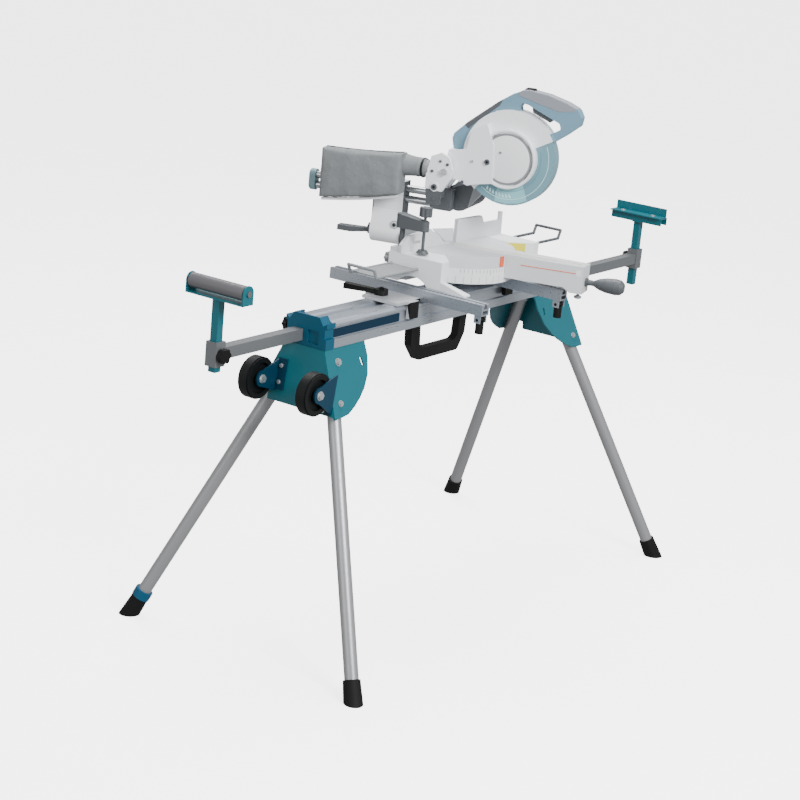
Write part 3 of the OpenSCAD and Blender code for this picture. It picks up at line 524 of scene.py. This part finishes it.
# ---------------------------------------------------------------- camera and light
def camera():
    cam = bpy.data.cameras.new("cam")
    o = bpy.data.objects.new("cam", cam)
    bpy.context.scene.collection.objects.link(o)
    yaw, pitch, roll = math.radians(55.49), math.radians(16.40), math.radians(5.384)
    f = Vector((math.sin(yaw) * math.cos(pitch), math.cos(yaw) * math.cos(pitch), -math.sin(pitch)))
    r = f.cross(Vector((0, 0, 1))).normalized()
    u = r.cross(f)
    r2 = math.cos(roll) * r + math.sin(roll) * u
    u2 = -math.sin(roll) * r + math.cos(roll) * u
    m = Matrix((r2, u2, -f)).transposed().to_4x4()
    m.translation = STAND @ Vector((-4.17606, -2.78550, 1.98491))
    o.matrix_world = m
    cam.sensor_width = 36
    cam.lens = 89.69
    bpy.context.scene.camera = o


def area(name, loc, aim, size, power):
    d = bpy.data.lights.new(name, "AREA")
    d.shape = "RECTANGLE"
    d.size = size[0]
    d.size_y = size[1]
    d.energy = power
    o = bpy.data.objects.new(name, d)
    bpy.context.scene.collection.objects.link(o)
    o.location = loc
    o.rotation_euler = (Vector(aim) - Vector(loc)).to_track_quat("-Z", "Y").to_euler()


def studio():
    w = bpy.data.worlds.new("studio")
    bpy.context.scene.world = w
    w.use_nodes = True
    bg = w.node_tree.nodes["Background"]
    bg.inputs["Color"].default_value = (1, 1, 1, 1)
    bg.inputs["Strength"].default_value = 0.55
    area("key", (-1.6, -4.2, 3.6), (0, 0, 0.7), (1.8, 1.8), 400)
    area("fill", (-4.8, 0.4, 2.2), (0, 0, 0.8), (2.5, 2.5), 60)
    area("top", (0.8, 0.8, 4.2), (0, 0, 0.8), (2.4, 2.4), 220)
    # floor that turns up into a backdrop far away: (radius, height) rings
    rings = [(24, 0), (27, 0.4), (29.5, 1.6), (31, 4), (32, 8), (32.5, 16)]
    steps = 72
    vs = [(0, 0, 0)]
    for r, z in rings:
        for i in range(steps):
            a = 2 * math.pi * i / steps
            vs.append((r * math.cos(a), r * math.sin(a), z))
    fs = [(0, 1 + i, 1 + (i + 1) % steps) for i in range(steps)]
    for k in range(len(rings) - 1):
        base = 1 + k * steps
        for i in range(steps):
            j = (i + 1) % steps
            fs.append((base + i, base + steps + i, base + steps + j, base + j))
    me = bpy.data.meshes.new("floor")
    me.from_pydata(vs, [], fs)
    for face in me.polygons:
        face.use_smooth = True
    fl = bpy.data.objects.new("floor", me)
    bpy.context.scene.collection.objects.link(fl)
    fl.location.z = -0.0005
    m = rough_mat("pale floor", (0.86, 0.86, 0.87), 0.75, 0.0, 0.0, 40, 0.005)
    p = m.node_tree.nodes["Principled BSDF"]
    p.inputs["Emission Color"].default_value = (1, 1, 1, 1)
    p.inputs["Emission Strength"].default_value = 3.4
    me.materials.append(m)
    fl.visible_diffuse = False
    fl.visible_glossy = False


camera()
studio()
bpy.context.view_layer.update()
